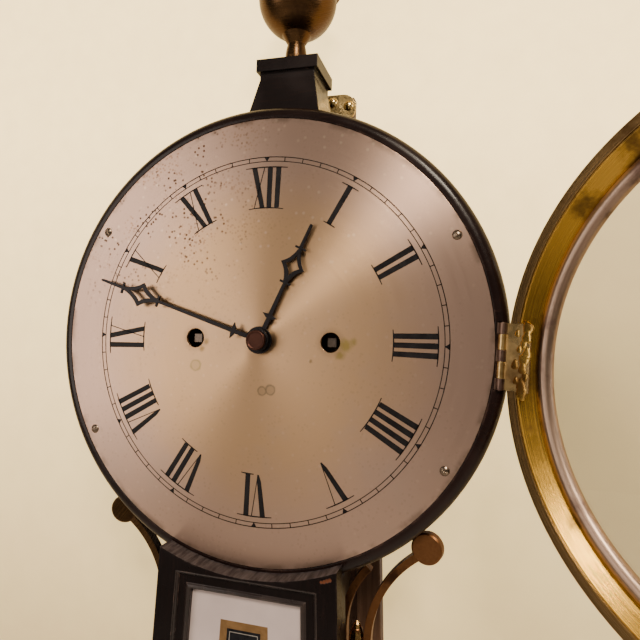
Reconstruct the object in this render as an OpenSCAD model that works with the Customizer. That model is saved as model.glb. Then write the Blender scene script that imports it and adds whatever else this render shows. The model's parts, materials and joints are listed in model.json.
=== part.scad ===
// Banjo clock: round head with a silvered dial, tapering throat and pendulum box,
// eight-day time and strike movement, hung on a wall by a brass plate.
// Working frame: x to the right, y from the dial face back to the wall, z up,
// zero at the dial centre. place() moves every part to the hanging hole.

/* [Dial and hands] */
// Radius of the dial plate
dial_r = 101.6; // [100.8:0.1:101.7]
// Thickness of the dial plate
dial_t = 1.5; // [1.2:0.1:1.6]
// Distance of each winding hole from the centre
wind_x = 32.8; // [32.6:0.1:33]
// Radius of the winding holes
wind_hole_r = 4.5; // [4:0.1:5]
// Radius of the circle of dial screws
dial_screw_r = 97.4; // [96.5:0.1:98]
// Hour shown, with its fraction
shown_hour = 12.8; // [1:0.01:12.99]
// Length of the minute hand from its centre
minute_len = 87; // [80:1:90]
// Length of the hour hand from its centre
hour_len = 56.8; // [52:0.5:60]
/* [Head] */
// Outer radius of the head's front moulding
rim_r = 108; // [107.5:0.5:109]
// Outer radius of the hoop behind the moulding
hoop_r = 106; // [104:0.5:106.5]
// Depth from the dial face back to the wall
wall_y = 66; // [64:1:70]
// Thickness of the back boards
back_t = 8; // [6:1:9]
/* [Bezel] */
// Outer radius of the glazed bezel
bezel_r = 102.3; // [101.5:0.1:102.4]
// Sight radius of the bezel glass
sight_r = 88.5; // [86:0.5:89]
// Distance of the bezel hinge from the dial centre
hinge_x = 104.2; // [104.1:0.1:104.6]
// Lean of the bezel hinge to the right
hinge_lean = 1.78; // [0:0.1:2]
// Angle at which the bezel stands open
bezel_open = 141.3; // [0:1:148]
/* [Throat and box] */
// Half width of the throat frame at its top
throat_hw = 41.3; // [40:0.1:44]
// Widening of each side per millimetre of drop
throat_slope = 0.045; // [0.03:0.005:0.07]
// Height of the throat frame's top corners
throat_top = -97; // [-98:1:-96]
// How far the throat frame stands in front of the dial
throat_proud = 9.6; // [9:0.1:12]
// Height of the top of the box
box_top_z = -402; // [-410:1:-395]
// Height of the bottom of the box
box_low_z = -619; // [-625:1:-612]
// Half width of the box carcass
box_hw = 128; // [124:1:132]
/* [Hanger and finial] */
// Height of the hanging hole above the dial centre
hole_z = 128.5; // [126:0.5:130]
// Radius of the hanging hole
hole_r = 4; // [3:0.5:5]
// Height of the top of the plinth cap
cap_top = 141; // [139:1:144]
// Widest radius of the finial
finial_r = 23.5; // [20:0.5:25]
/* [Movement] */
// Teeth of the great wheels
great_n = 96; // [96]
// Leaves of the driven pinions
leaf_n = 8; // [8]
// Teeth of the centre wheel
centre_n = 80; // [80]
// Teeth of the third wheel
third_n = 60; // [60]
// Teeth of the escape wheel
escape_n = 32; // [32]
// Tooth module of the centre and third wheels
train_m = 0.5; // [0.48:0.01:0.5]
// Distance from the pendulum's pivot to the centre of its bob
pendulum_len = 559; // [550:1:565]
// Radius of the pendulum bob
bob_r = 42; // [36:1:48]

/* [Hidden] */
$fn = 96;
eps = 0.01;
plate_t = 1.6;
plate_y = 58.6;                 // middle of the hanger plate's thickness
back_y = wall_y - back_t;       // front face of the back boards
run = 0.05;                     // running clearance
rim_y = 9;                      // back of the front moulding
frame_back = 5;                 // back of the throat frame
// depths inside the movement
front_plate_y = 14;
rear_plate_y = 42;
brass_t = 2;                    // thickness of the movement plates
great_m = 2 * wind_x / (great_n + leaf_n);
third_z = train_m * (centre_n + leaf_n) / 2;
escape_z = third_z + train_m * (third_n + leaf_n) / 2;
escape_r = 14;
anchor_z = escape_z + escape_r * sqrt(2);
barrel_r = 22.5;
pin_angle = 100;                // direction of the pin wheel from the strike barrel
pin_x = -wind_x + wind_x * cos(pin_angle);
pin_z = wind_x * sin(pin_angle);
pend_y = 49;                    // depth of the pendulum rod
bob_z = anchor_z - pendulum_len;
motion_gap = 12;                // centre distance of the motion work
minute_angle = -360 * (shown_hour - floor(shown_hour));
hour_angle = -30 * shown_hour;
dial_screw_turns = [28.5, 148.5, 208.5, 328.5];
hinge_mid = -3;                 // height of the middle of the bezel hinge
hinge_half = 13.5;
knuckle_r = 1.6;
door_back = 3.5;
door_front = -12;
door_top = box_top_z - 11.5;
door_low = box_low_z + 13.5;
door_axis = [box_hw + 1.8, 3.75];
arm_y0 = 13;
arm_y1 = 18;
arm_foot_x = 112.5;
hammer_x = -63;
hammer_z = -14;
head_x = -76;                   // centre of the hammer head
head_z = 30;
gong_r = 90;
latch_x = -(box_hw - 12);
latch_z = (door_top + door_low) / 2;

// ---- helpers ----------------------------------------------------------------
module place() { translate([0, -plate_y, -hole_z]) children(); }

// a sketch drawn in x and z, extruded from depth y0 to y1
module slab(y0, y1) {
    translate([0, y1, 0]) rotate([90, 0, 0]) linear_extrude(height = y1 - y0) children();
}

// a cylinder along the depth axis
module rod(r, y0, y1, x = 0, z = 0) {
    translate([x, y0, z]) rotate([-90, 0, 0]) cylinder(r = r, h = y1 - y0);
}

// a sketch of radius and depth, revolved about the depth axis
module turned() { rotate([-90, 0, 0]) rotate_extrude($fn = 180) children(); }

module block(a, b) { translate(a) cube([b[0] - a[0], b[1] - a[1], b[2] - a[2]]); }

// points of an arc round (cx, cy), in n steps from angle a0 to a1
function arc(cx, cy, r, a0, a1, n) =
    [for (i = [0:n]) let (a = a0 + (a1 - a0) * i / n) [cx + r * cos(a), cy + r * sin(a)]];

// points of a curve from p to q, bowed sideways by sag at its middle
function bowed(p, q, sag, n = 6) = let (d = q - p, u = [-d[1], d[0]] / norm(d))
    [for (i = [0:n]) let (t = i / n) p + d * t + u * sag * 4 * t * (1 - t)];

// the mirror image of a chain of points, in reverse order
function flip(points) = [for (i = [len(points) - 1:-1:0]) [-points[i][0], points[i][1]]];

// toothed outline: straight-sided teeth, the first one centred on the angle phase
module toothed(n, m, phase = 0) {
    pitch = 360 / n;
    tip = n * m / 2 + 0.9 * m;
    root = n * m / 2 - 1.2 * m;
    shape = [[root, -0.27], [tip, -0.1], [tip, 0.1], [root, 0.27]];
    polygon([for (i = [0:n - 1]) for (p = shape)
        let (a = phase + (i + p[1]) * pitch) p[0] * [cos(a), sin(a)]]);
}

// a wheel with a rim, arms and hub
module wheel(n, m, phase, y0, y1, bore, arms = 5) {
    rim_in = n * m / 2 - 1.2 * m - 2.2;
    hub = bore + 2.6;
    slab(y0, y1) {
        difference() {
            toothed(n, m, phase);
            circle(r = rim_in);
        }
        difference() {
            union() {
                circle(r = hub);
                for (i = [0:arms - 1])
                    rotate(i * 360 / arms + 15) translate([0, -1]) square([rim_in + 0.6, 2]);
            }
            circle(r = bore);
        }
    }
}

// a domed screw head with a slot, pointing towards the viewer from depth y
module dome_head(r, h, x, z, y, turn = 0) {
    ball = (r * r + h * h) / (2 * h);
    difference() {
        intersection() {
            translate([x, y + ball - h, z]) sphere(r = ball, $fn = 48);
            rod(r, y - h - 1, y, x, z);
        }
        translate([x, y - h, z]) rotate([0, turn, 0]) cube([2 * r + 1, h, 0.5], center = true);
    }
}

// half width of the throat frame at height z
function throat_at(z) = throat_hw + throat_slope * (throat_top - z);

// a tapering throat outline, grown sideways by grow
module throat_outline(grow, z_top, z_low) {
    polygon([[-throat_at(z_top) - grow, z_top], [throat_at(z_top) + grow, z_top],
             [throat_at(z_low) + grow, z_low], [-throat_at(z_low) - grow, z_low]]);
}

// ---- head ---------------------------------------------------------------------
module head_back() {
    color("#2a1a14") place() difference() {
        union() {
            rod(hoop_r - 0.4, back_y, wall_y);
            slab(plate_y + plate_t / 2, wall_y) translate([-26, 90]) square([52, 44.5]);
        }
        rod(hole_r + 5, back_y - 1, wall_y + 1, 0, hole_z);
        for (p = hanger_spots()) rod(1.2, back_y - 1, wall_y + 1, p[0], p[1]);
    }
}

module head_hoop() {
    color("#241511") place() difference() {
        turned() difference() {
            translate([97, rim_y]) square([hoop_r - 97, back_y - rim_y]);
            translate([96, 30]) square([2, back_y - 31]);
        }
        block([-28, 34, -120], [28, back_y + 1, -80]);
    }
}

module head_rim() {
    outline = concat([[94, dial_t + 0.1], [dial_r + 0.2, dial_t + 0.1], [dial_r + 0.2, 0.6]],
                     arc(dial_r + 0.6, 0.6, 0.4, 180, 270, 4),
                     arc(rim_r - 4.8, 5, 4.8, -90, 0, 12), [[rim_r, rim_y], [94, rim_y]]);
    color("#1c0f0d") place() difference() {
        turned() polygon(outline);
        at_hinge() block([-2.35, -2, hinge_mid - hinge_half - 0.4], [2.1, 2.2, hinge_mid + hinge_half + 0.4]);
        at_hinge() block([-2.25, 0, hinge_mid - hinge_half - 0.1],
                         [-0.95, 7.1, hinge_mid + hinge_half + 0.1]);
        for (a = dial_screw_turns)
            rod(0.95, 0, rim_y + 1, dial_screw_r * cos(a), dial_screw_r * sin(a));
    }
}

module dial() {
    color("#c8b09a") place() difference() {
        rod(dial_r, 0, dial_t);
        rod(5.2, -1, dial_t + 1);
        for (s = [-1, 1]) rod(wind_hole_r, -1, dial_t + 1, s * wind_x);
        for (a = dial_screw_turns)
            rod(1.3, -1, dial_t + 1, dial_screw_r * cos(a), dial_screw_r * sin(a));
    }
}

module dial_screws() {
    color("#6b5638") place() for (a = dial_screw_turns) {
        x = dial_screw_r * cos(a);
        z = dial_screw_r * sin(a);
        dome_head(2.1, 0.85, x, z, 0, a * 1.7);
        rod(0.9, -eps, 8, x, z);
    }
}

module plinth() {
    color("#15100f") place() difference() {
        union() {
            intersection() {
                slab(10, 56) polygon([[-20.4, 102], [20.4, 102], [14.3, 131], [-14.3, 131]]);
                rotate([0, 0, 90]) slab(-30, 30)
                    polygon([[16.2, 102], [53.2, 102], [47.8, 131], [22.3, 131]]);
            }
            block([-14.3, 22.3, 130.9], [14.3, 47.8, 135]);
            block([-16, 20.8, cap_top - 6.2], [16, 49.3, cap_top]);
        }
        rod(rim_r + 0.3, 0, rim_y + 0.2);
        rod(hoop_r + 0.1, 0, 60);
        translate([0, 35, cap_top - 9]) cylinder(r = 2.6, h = 10);
    }
}

// urn finial: neck, bowl, flange, domed lid and tip
module finial() {
    outline = concat([[0, cap_top - 8], [2.5, cap_top - 8], [2.5, cap_top + 0.02], [6.4, cap_top + 0.02],
                      [6.4, cap_top + 1.6]],
                     bowed([5.4, cap_top + 2.4], [4.5, cap_top + 13], -0.5),
                     [[6.2, cap_top + 15.6]],
                     arc(0, cap_top + 36.6, 20.3, -68, 0, 14),
                     [[20.3, cap_top + 40.5], [finial_r - 1, cap_top + 41.2]],
                     arc(finial_r - 1.8, cap_top + 43.6, 1.8, -60, 80, 6),
                     [[19, cap_top + 46]],
                     arc(0, cap_top + 45, 18.4, 8, 68, 8),
                     [[4.2, cap_top + 63.6]],
                     arc(0, cap_top + 67, 4.6, -40, 90, 8));
    color("#5a3d1d") place() translate([0, 35, 0]) rotate_extrude($fn = 72) polygon(outline);
}

// centres of the hanger plate's screws
function hanger_spots() = [[-23.5, 129.5], [-14.3, 131.8], [14.3, 131.8], [23.5, 129.5]];

module hanger_plate() {
    y0 = plate_y - plate_t / 2;
    color("#a8843f") place() difference() {
        slab(y0, y0 + plate_t) union() {
            translate([-20, 121]) square([40, 15]);
            for (s = [-1, 1]) translate([s * 20, 128.5]) circle(r = 7.5);
        }
        rod(hole_r, 50, 70, 0, hole_z);
        for (p = hanger_spots()) rod(1.6, 50, 70, p[0], p[1]);
    }
}

module hanger_screws() {
    y0 = plate_y - plate_t / 2;
    color("#c79c4a") place() for (p = hanger_spots()) {
        dome_head(2.9, 1.9, p[0], p[1], y0, p[0] * 9);
        rod(1.1, y0 - eps, wall_y - 1, p[0], p[1]);
    }
}

// ---- bezel ----------------------------------------------------------------------
module at_hinge() { translate([hinge_x, 0, 0]) rotate([0, hinge_lean, 0]) children(); }

// turns a part drawn on the closed bezel to where it stands open
module opened() {
    lean_axis = [sin(hinge_lean), 0, cos(hinge_lean)];
    place() translate([hinge_x, 0, 0]) rotate(a = bezel_open, v = lean_axis)
        translate([-hinge_x, 0, 0]) children();
}

module bezel_ring() {
    outline = concat([[bezel_r, -0.9], [98.4, -0.9], [98.4, -1.6], [97.8, -1.6], [92.6, -6.4], [92.2, -6.8],
                      [92.2, -10.6], [sight_r, -10.6], [sight_r, -11.8]],
                     arc(sight_r + 1.4, -12.4, 1.4, 160, 250, 4),
                     bowed([95.6, -13.6], [bezel_r, -5.2], -2.3, 8));
    color("#9a7432") opened() difference() {
        turned() polygon(outline);
        at_hinge() block([-12.6, -1.3, hinge_mid - hinge_half], [-1, 0, hinge_mid + hinge_half]);
    }
}

module bezel_glass() { color([0.85, 0.9, 0.9, 0.3]) opened() rod(91.9, -10.5, -8.4); }

module bezel_retainer() {
    outline = concat([[92.0, -8.3], [86.2, -8.3]], arc(89.1, -7.2, 2.9, 180, 0, 12));
    color("#6d4a33") opened() turned() polygon(outline);
}

module bezel_hinge_leaf() {
    color("#b0935c") opened() at_hinge() difference() {
        union() {
            block([-12.5, -1.2, hinge_mid - hinge_half + 0.1], [-1.9, -0.3, hinge_mid + hinge_half - 0.1]);
            for (z = bezel_knuckles()) {
                translate([0, 0, z[0] + 0.15]) cylinder(r = knuckle_r, h = z[1] - z[0] - 0.3);
                block([-2.2, -1.2, z[0] + 0.15], [-0.2, -0.3, z[1] - 0.15]);
            }
        }
        translate([0, 0, hinge_mid - 20]) cylinder(r = 0.7 + run, h = 40);
    }
}

// lowest and highest point of each hinge knuckle
function bezel_knuckles() = [[hinge_mid - 9, hinge_mid - 2], [hinge_mid + 2.5, hinge_mid + 9]];
function rim_knuckles() = [[hinge_mid - 13.5, hinge_mid - 9], [hinge_mid - 2, hinge_mid + 2.5],
                           [hinge_mid + 9, hinge_mid + 13.5]];

module rim_hinge_leaf() {
    color("#4a3a2c") place() at_hinge() difference() {
        union() {
            block([-2.2, 1.75, hinge_mid - hinge_half], [-1, 7, hinge_mid + hinge_half]);
            for (z = rim_knuckles()) {
                translate([0, 0, z[0]]) cylinder(r = knuckle_r, h = z[1] - z[0]);
                block([-2.2, 0.1, z[0]], [-0.4, 2, z[1]]);
            }
        }
        translate([0, 0, hinge_mid - 20]) cylinder(r = 0.72, h = 40);
    }
}

module rim_hinge_pin() {
    color("#8c7a5a") place() at_hinge() translate([0, 0, hinge_mid - 13.8]) cylinder(r = 0.7, h = 27.6);
}

// ---- throat -----------------------------------------------------------------------
module throat_back() {
    color("#1b1210") place() difference() {
        slab(back_y, wall_y) throat_outline(6, -80, box_top_z + 0.1);
        rod(hoop_r + 0.1, 0, 80);
    }
}

module throat_side(s) {
    difference() {
        slab(frame_back + 0.1, back_y - 0.1) difference() {
            throat_outline(-6.5, -80, box_top_z + 0.1);
            throat_outline(-13.5, -79, box_top_z - 1);
            translate([s > 0 ? -200 : 0, -500]) square([200, 500]);
        }
        rod(rim_r + 0.3, 0, rim_y + 0.2);
        rod(hoop_r + 0.1, 0, 80);
    }
}

module throat_side_left() { color("#1a110f") place() throat_side(-1); }
module throat_side_right() { color("#1a110f") place() throat_side(1); }

// moulded frame with a concave top that follows the head
module throat_frame() {
    sight_top = -111.5;
    sight_low = box_top_z + 15;
    color("#1f0f0c") place() difference() {
        union() {
            slab(-throat_proud, frame_back) difference() {
                throat_outline(0, -90, box_top_z + 0.1);
                throat_outline(-9.5, sight_top + 6.8, sight_low - 6.8);
            }
            slab(-throat_proud + 1.4, frame_back) difference() {
                throat_outline(-9.4, sight_top + 6.9, sight_low - 6.9);
                throat_outline(-16.3, sight_top, sight_low);
            }
        }
        slab(-6.1, frame_back + 1) throat_outline(-14.2, sight_top + 2.1, sight_low - 2.1);
        rod(103.2, -20, 20);
        rod(rim_r + 0.3, 0, 20);
    }
}

module throat_glass() {
    color("#e9e2dc") place() slab(-6, -4) throat_outline(-14.4, -109.8, box_top_z + 13.2);
}

// ---- box ------------------------------------------------------------------------------
module box_back() {
    color("#1b1210") place() block([-box_hw, back_y, box_low_z + 12.1], [box_hw, wall_y, box_top_z - 10.1]);
}

module box_side(s) {
    block([s > 0 ? box_hw - 8 : -box_hw, 4, box_low_z + 12.1],
          [s > 0 ? box_hw : -box_hw + 8, back_y - 0.1, box_top_z - 10.1]);
}

module box_side_left() {
    color("#1a110f") place() difference() {
        box_side(-1);
        block([-box_hw + 3, 5.7, latch_z - 9], [-box_hw + 9, 7.8, latch_z + 3]);
    }
}

module box_side_right() { color("#1a110f") place() box_side(1); }

// a board with a rounded nose on its front and sides
module moulded_board(z0, z1) {
    mid = (z0 + z1) / 2;
    nose = (z1 - z0) / 2;
    block([-box_hw - 2, -11, z0], [box_hw + 2, wall_y, z1]);
    for (s = [-1, 1])
        translate([s * (box_hw + 2), -11, mid]) rotate([-90, 0, 0]) cylinder(r = nose, h = wall_y + 11);
    translate([-box_hw - 2, -11, mid]) rotate([0, 90, 0]) cylinder(r = nose, h = 2 * box_hw + 4);
    for (s = [-1, 1]) translate([s * (box_hw + 2), -11, mid]) sphere(r = nose, $fn = 48);
}

module box_top() {
    color("#1f0f0c") place() difference() {
        moulded_board(box_top_z - 10, box_top_z);
        block([-40, 30, box_top_z - 11], [40, back_y - 0.1, box_top_z + 1]);
        for (s = [-1, 1]) translate([s * arm_foot_x, 15.5, box_top_z - 7]) cylinder(r = 1.2, h = 8);
    }
}

module box_bottom() { color("#1f0f0c") place() moulded_board(box_low_z, box_low_z + 12); }

module door_frame() {
    sight = 26;
    color("#1f0f0c") place() difference() {
        union() {
            slab(door_front, door_back) difference() {
                translate([-box_hw, door_low]) square([2 * box_hw, door_top - door_low]);
                translate([-box_hw + 17, door_low + 17]) square([2 * box_hw - 34, door_top - door_low - 34]);
            }
            slab(door_front + 2, door_back) difference() {
                translate([-box_hw + 16.9, door_low + 16.9])
                    square([2 * box_hw - 33.8, door_top - door_low - 33.8]);
                translate([-box_hw + sight, door_low + sight])
                    square([2 * box_hw - 2 * sight, door_top - door_low - 2 * sight]);
            }
        }
        slab(-8.1, door_back + 1) translate([-box_hw + sight - 3, door_low + sight - 3])
            square([2 * box_hw - 2 * sight + 6, door_top - door_low - 2 * sight + 6]);
        rod(2 + run, door_front - 1, door_back + 1, latch_x, latch_z);
    }
}

module door_glass() {
    color("#e9e2dc") place() slab(-8, -6) translate([-box_hw + 23.2, door_low + 23.2])
        square([2 * box_hw - 46.4, door_top - door_low - 46.4]);
}

function door_hinge_heights() = [door_low + 35, door_top - 35];

module box_hinge_leaves() {
    color("#8a6a35") place() for (z = door_hinge_heights()) translate([door_axis[0], door_axis[1], z]) {
        for (part = [[-15, -5], [5, 15]]) {
            translate([0, 0, part[0]]) cylinder(r = knuckle_r, h = part[1] - part[0]);
            block([-1.7, 0.3, part[0]], [-0.2, 2, part[1]]);
        }
        block([-1.75, 1.9, -15], [-0.85, 14, 15]);
        translate([0, 0, -15]) cylinder(r = 0.8, h = 30);
    }
}

module door_hinge_leaves() {
    color("#8a6a35") place() for (z = door_hinge_heights())
        translate([door_axis[0], door_axis[1], z]) difference() {
            union() {
                translate([0, 0, -4.8]) cylinder(r = knuckle_r, h = 9.6);
                block([-1.75, -12, -4.8], [-0.2, -0.4, 4.8]);
            }
            translate([0, 0, -10]) cylinder(r = 0.8 + run, h = 20);
            block([-0.85, -13, -10], [0, -1.7, 10]);
        }
}

// knob, spindle and tongue; the tongue hangs down when unlatched
module door_latch() {
    color("#a8843f") place() {
        rod(2, door_front - 6, door_back + 4, latch_x, latch_z);
        rod(4.4, door_front - 1.6, door_front - 0.1, latch_x, latch_z);
        translate([latch_x, door_front - 8.5, latch_z]) sphere(r = 5.2, $fn = 48);
        block([latch_x - 1.9, door_back + 2.6, latch_z - 8], [latch_x + 1.9, door_back + 3.9, latch_z + 2.4]);
    }
}

// ---- side arms --------------------------------------------------------------------------
// part of a ring between two angles
module ring_part(cx, cz, r, w, a0, a1) {
    polygon(concat(arc(cx, cz, r + w / 2, a0, a1, 24), arc(cx, cz, r - w / 2, a1, a0, 24)));
}

// right-hand arm; the left one is its mirror image
module side_arm() {
    bar = 3.4;
    slab(arm_y0, arm_y1) {
        ring_part(100.4, -133, 49.9, bar, 180, 121);
        ring_part(81.5, -128, 42, bar, 180, 138);
        translate([39.5 - bar / 2, -150]) square([bar, 22.1]);
        polygon([[48.8, -132.9], [52.2, -132.9], [61.7, -330], [56.3, -330]]);
        polygon([[37.8, -149.9], [41.2, -149.9], [53.5, -178], [51, -186]]);
        ring_part(121, -330, 62, 5.4, 180, 262);
        translate([arm_foot_x - 6.5, box_top_z]) square([13, 9]);
        translate([arm_foot_x - 3.5, box_top_z + 8]) square([7, 4]);
    }
    // disc in front of the bar's upper end, turned a little towards the dial
    translate([75.6, arm_y0, -88]) rotate([0, 0, -12]) {
        rod(6.9, -0.3, 3.2);
        translate([0, -1, 0]) rotate([-90, 0, 0]) cylinder(r1 = 6.2, r2 = 6.9, h = 0.71);
    }
    // bud between the two branches
    translate([45.5, 15.5, -152]) rotate_extrude($fn = 32)
        polygon([[0, 0], [2.2, 0], [3.4, 8], [3.6, 18], [2.4, 24], [0, 27]]);
    slab(arm_y0 + 1, arm_y1 - 1) translate([40, -156]) square([12, 6]);
}

// the screw's hole through an arm's foot, with a spot face for its head
module arm_screw_hole() {
    translate([arm_foot_x, 15.5, box_top_z - 8]) {
        cylinder(r = 1.2, h = 30);
        translate([0, 0, 20]) cylinder(r = 2.8, h = 5);
    }
}

module side_arm_right() {
    color("#5a3a22") place() difference() {
        side_arm();
        arm_screw_hole();
    }
}

module side_arm_left() {
    color("#5a3a22") place() difference() {
        mirror([1, 0, 0]) side_arm();
        mirror([1, 0, 0]) arm_screw_hole();
    }
}

module arm_screws() {
    color("#c79c4a") place() for (s = [-1, 1]) translate([s * arm_foot_x, 15.5, box_top_z + 12]) {
        rotate([-90, 0, 0]) dome_head(2.2, 1.2, 0, 0, 0, 30);
        translate([0, 0, -18]) cylinder(r = 1.15, h = 18.01);
    }
}

// ---- movement frame ------------------------------------------------------------------------
module plate_outline() {
    polygon([[-68, -30], [-60, -38], [60, -38], [68, -30], [68, 50], [52, 66], [-52, 66], [-68, 50]]);
}

function pillar_spots() = [[-58, -28], [58, -28], [-54, 54], [54, 54]];

module plate_holes(y0, y1, wind) {
    for (s = [-1, 1]) rod(wind, y0, y1, s * wind_x, 0);
    rod(1.2 + run, y0, y1, 0, third_z);
    rod(1.2 + run, y0, y1, 0, escape_z);
    rod(1.2 + run, y0, y1, pin_x, pin_z);
    rod(1.5 + run, y0, y1, 0, anchor_z);
    rod(1.5 + run, y0, y1, hammer_x, hammer_z);
}

module front_plate() {
    color("#b08a45") place() difference() {
        slab(front_plate_y, front_plate_y + brass_t) plate_outline();
        plate_holes(0, 30, 3.2 + run);
        rod(1.6 + run, 0, 30);
    }
}

module rear_plate() {
    color("#b08a45") place() difference() {
        slab(rear_plate_y, rear_plate_y + brass_t) plate_outline();
        plate_holes(30, 60, 2.5 + run);
        rod(1.6 + run, 30, 60);
    }
}

// distance pieces between the plates and behind them, with nuts in front
module pillars() {
    color("#a07c3c") place() for (p = pillar_spots()) {
        rod(3.2, front_plate_y + brass_t, rear_plate_y, p[0], p[1]);
        rod(3.2, rear_plate_y + brass_t, back_y, p[0], p[1]);
        rod(3.6, front_plate_y - 2.4, front_plate_y, p[0], p[1]);
    }
}

module suspension_cock() {
    color("#a07c3c") place() difference() {
        union() {
            block([-9, rear_plate_y + brass_t, anchor_z + 3.6], [9, pend_y + 3.5, anchor_z + 9]);
            block([-14, rear_plate_y + brass_t, anchor_z + 3.6],
                  [14, rear_plate_y + brass_t + 1.6, anchor_z + 7]);
        }
        block([-5.5, pend_y - 0.8, anchor_z + 1], [5.5, pend_y + 0.8, anchor_z + 10]);
    }
}

// ---- going train ----------------------------------------------------------------------------
module barrel(s, wheel_y) {
    drum_y0 = wheel_y < 30 ? wheel_y + brass_t : wheel_y - 18;
    translate([s * wind_x, 0, 0]) difference() {
        union() {
            slab(wheel_y, wheel_y + brass_t) toothed(great_n, great_m, s > 0 ? 180 : pin_angle);
            rod(barrel_r, drum_y0, drum_y0 + 18);
        }
        rod(3.2 + run, 10, 50);
    }
}

module winding_arbor(s) {
    translate([s * wind_x, 0, 0]) {
        rod(3.2, front_plate_y, 39.5);
        rod(2.5, 39.4, rear_plate_y + brass_t);
        slab(3, front_plate_y + 0.1) square(4, center = true);
        // ratchet wheel in front of the plate
        slab(front_plate_y - 3.4, front_plate_y - 0.4) difference() {
            circle(r = 8);
            for (i = [0:15]) rotate(i * 22.5) translate([8, 0]) rotate(20) square([2.6, 1.6]);
        }
    }
}

module going_barrel() { color("#b8924c") place() barrel(1, 18); }
module going_winding_arbor() { color("#8d8f92") place() winding_arbor(1); }

module centre_wheel() {
    color("#b8924c") place() {
        rod(1.6, front_plate_y - 1.4, front_plate_y + brass_t + 0.2);
        rod(1.2, -5.6, rear_plate_y + brass_t + 0.5);
        slab(17.6, 20.6) toothed(leaf_n, great_m, -180 / leaf_n);
        wheel(centre_n, train_m, 90, 39, 40.2, 1.19);
        rod(1.6, rear_plate_y - 0.4, rear_plate_y + brass_t);
    }
}

module third_wheel() {
    color("#b8924c") place() translate([0, 0, third_z]) {
        rod(1.2, front_plate_y, rear_plate_y + brass_t);
        slab(38.4, 40.8) toothed(leaf_n, train_m, 270 - 180 / leaf_n);
        wheel(third_n, train_m, 90, 28, 29.2, 1.19);
    }
}

module escape_wheel() {
    tooth = [[escape_r - 3, 0], [escape_r, 0.28], [escape_r, 0.4], [escape_r - 3, 0.5]];
    pitch = 360 / escape_n;
    color("#c29a50") place() translate([0, 0, escape_z]) {
        rod(1.2, front_plate_y, rear_plate_y + brass_t);
        slab(27.4, 29.8) toothed(leaf_n, train_m, 270 - 180 / leaf_n);
        slab(22, 23.2) {
            difference() {
                polygon([for (i = [0:escape_n - 1]) for (p = tooth)
                    let (a = -(i + p[1]) * pitch) p[0] * [cos(a), sin(a)]]);
                circle(r = 9);
            }
            difference() {
                union() {
                    circle(r = 3.6);
                    for (i = [0:4]) rotate(i * 72) translate([0, -0.8]) square([9.5, 1.6]);
                }
                circle(r = 1.19);
            }
        }
    }
}

// anchor with its arbor and the crutch that embraces the pendulum rod
module anchor() {
    reach = escape_r + 1.1;
    color("#8d8f92") place() {
        rod(1.5, front_plate_y, rear_plate_y + brass_t + 2.6, 0, anchor_z);
        slab(21.8, 23.4) {
            translate([0, anchor_z]) circle(r = 3.4);
            for (s = [-1, 1])
                polygon([[s * 1, anchor_z + 2.4], [s * 13.4, anchor_z - 4.4], [s * 12.4, anchor_z - 9.6],
                         [s * (reach * sin(45) + 0.2), escape_z + reach * cos(45)], [s * 9.6, anchor_z - 4.6],
                         [s * 1, anchor_z - 1.6]]);
        }
        slab(rear_plate_y + brass_t + 0.8, rear_plate_y + brass_t + 2.4) {
            translate([0, anchor_z]) circle(r = 3);
            translate([-1, 21]) square([2, anchor_z - 21]);
        }
        for (s = [-1, 1]) rod(0.7, rear_plate_y + brass_t + 0.8, pend_y + 3, s * (1.5 + 0.7 + 0.2), 21.8);
        slab(rear_plate_y + brass_t + 0.8, rear_plate_y + brass_t + 2.4)
            translate([-3.4, 20.6]) square([6.8, 2.4]);
    }
}

// ---- pendulum -----------------------------------------------------------------------------------
module suspension_spring() {
    color("#9a9ea2") place() {
        block([-3, pend_y - 0.15, anchor_z - 12], [3, pend_y + 0.15, anchor_z + 8.6]);
        rod(0.8, pend_y - 0.75, pend_y + 0.75, 0, anchor_z + 7);
        block([-3.4, pend_y - 1.2, anchor_z - 14.5], [3.4, pend_y + 1.2, anchor_z - 8.5]);
    }
}

module pendulum_rod() {
    color("#8d8f92") place() translate([0, pend_y, 0]) {
        translate([0, 0, bob_z - bob_r - 14]) cylinder(r = 1.5, h = anchor_z - 14.5 - (bob_z - bob_r - 14));
    }
}

module pendulum_bob() {
    half = 7.5;
    ball = (bob_r * bob_r + half * half) / (2 * half);
    edge = asin(bob_r / ball);
    color("#b5913f") place() difference() {
        translate([0, pend_y, bob_z]) turned() polygon(concat(
            arc(0, ball - half, ball, -90, -90 + edge, 12), arc(0, half - ball, ball, 90 - edge, 90, 12)));
        translate([0, pend_y, bob_z - bob_r - 1]) cylinder(r = 1.5 + run, h = 2 * bob_r + 2);
    }
}

module rating_nut() {
    color("#b5913f") place() translate([0, pend_y, bob_z - bob_r - 5.2]) difference() {
        cylinder(r = 6, h = 5);
        translate([0, 0, -1]) cylinder(r = 1.5 + run, h = 7);
        for (i = [0:23]) rotate(i * 15) translate([6, 0, -1]) cylinder(r = 0.35, h = 7, $fn = 6);
    }
}

// ---- motion work and hands ------------------------------------------------------------------------
module cannon_pinion() {
    color("#b8924c") place() difference() {
        union() {
            rod(2.2, -4, 12.4);
            slab(9, 12.2) toothed(12, 0.5, 270 - 15);
        }
        rod(1.2, -10, 20);
    }
}

module minute_wheel() {
    color("#b8924c") place() translate([0, 0, -motion_gap]) {
        difference() {
            slab(9.6, 11) toothed(36, 0.5, 90);
            rod(1.19, 5, 20);
        }
        slab(5.6, 8.4) toothed(10, 0.48, 90);
        rod(1.2, 5, 13.6);
    }
}

module hour_wheel() {
    color("#b8924c") place() difference() {
        union() {
            slab(6.2, 7.6) toothed(40, 0.48, 270 - 4.5);
            rod(3.6, -2.6, 7.6);
        }
        rod(2.2 + run, -10, 20);
    }
}

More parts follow.
